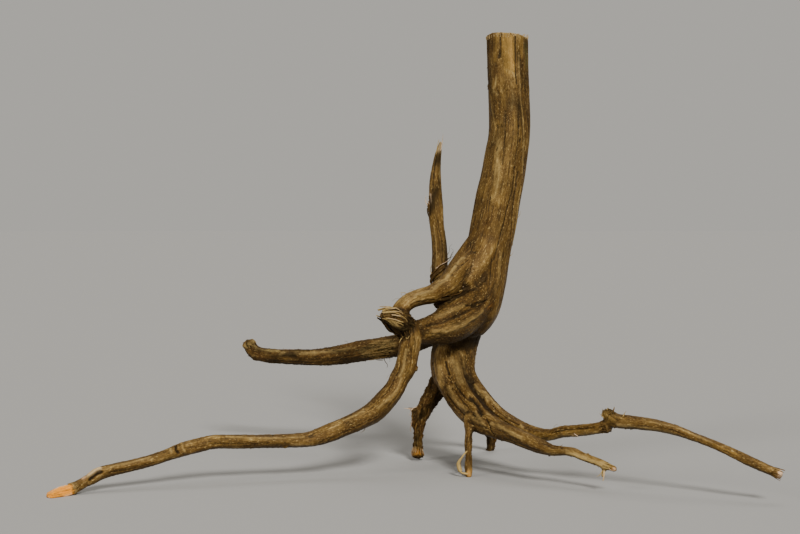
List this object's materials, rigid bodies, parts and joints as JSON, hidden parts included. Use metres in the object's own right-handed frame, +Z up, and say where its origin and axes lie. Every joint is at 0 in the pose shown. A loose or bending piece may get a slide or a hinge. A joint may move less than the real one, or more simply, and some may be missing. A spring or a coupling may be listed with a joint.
{
  "type": "dry root",
  "caption": "Dry tree root with a sawn stem, a forward loop with a broken knot, long side roots and a dead shoot, standing on its own root tips.",
  "frame": {"origin": "middle of the footprint's bounding box, on the surface that the three lowest root tips stand on", "axes": "+Z up along the sawn stem, +X along the longest extent towards the broken-knob side root, -Y to the side where the loop and its knot come forward"},
  "size_m": [0.7708, 0.4178, 0.5155],
  "materials": {
    "dry_root_wood": "dry, brown-olive, satin where the bark has worn off"
  },
  "bodies": {
    "root": {"root": "dry_root_wood"}
  },
  "joints": []
}
